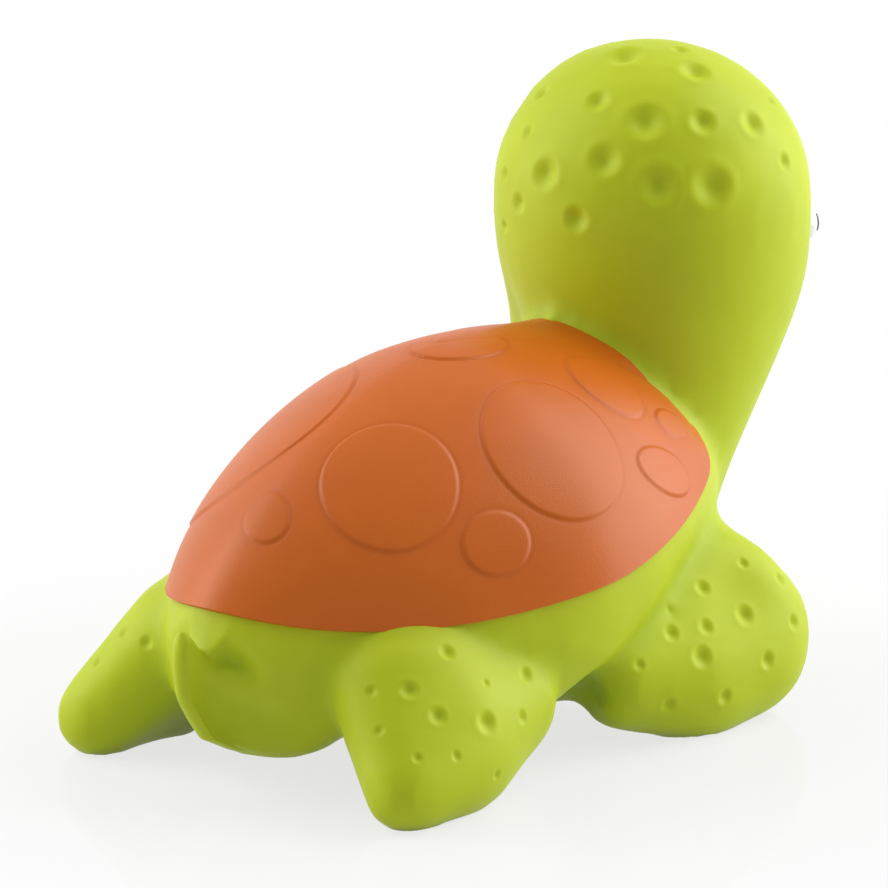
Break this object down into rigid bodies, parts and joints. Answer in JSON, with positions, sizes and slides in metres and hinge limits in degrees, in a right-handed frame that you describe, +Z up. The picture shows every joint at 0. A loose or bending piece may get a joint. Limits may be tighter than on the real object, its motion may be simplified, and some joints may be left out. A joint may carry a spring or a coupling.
{
  "type": "squeaky bath toy",
  "caption": "Hollow rubber sea turtle bath toy with a moulded shell, domed eyes, dimpled flippers and a reed squeaker in its belly that sounds when it is squeezed.",
  "frame": {"origin": "on the floor under the middle of the toy's length and width", "axes": "+Z up, the turtle faces -Y, and its left side is +X"},
  "size_m": [0.0672, 0.1219, 0.088],
  "materials": {
    "green_rubber": "lime green satin rubber with round dimples on the head and flippers",
    "orange_rubber": "orange-brown satin rubber with a fine grain and embossed discs",
    "eye_white": "gloss white",
    "pupil_black": "gloss black",
    "squeaker_plastic": "moulded off-white plastic",
    "reed_film": "thin springy film"
  },
  "bodies": {
    "belly": {"belly_skin": "green_rubber", "squeaker_case": "squeaker_plastic", "squeaker_lid": "squeaker_plastic", "reed_block": "squeaker_plastic", "reed_clamp": "squeaker_plastic"},
    "back": {"back_skin": "green_rubber", "carapace": "orange_rubber", "left_eye": "eye_white", "right_eye": "eye_white", "left_pupil": "pupil_black", "right_pupil": "pupil_black"},
    "reed": {"reed": "reed_film"}
  },
  "joints": [
    {"name": "squeeze", "type": "slide", "parent": "belly", "child": "back", "axis": [0, 0, -1], "range_m": [0, 0.005], "stiffness_N_per_m": 1500, "springref_m": -0.0005, "deforming": ["belly_skin"]},
    {"name": "reed_flutter", "type": "hinge", "parent": "belly", "child": "reed", "pos_m": [-0.00397, 0.00916, 0.00877], "axis": [0, -1, 0], "range_deg": [-2.5, 3], "stiffness_Nm_per_rad": 0.002}
  ]
}
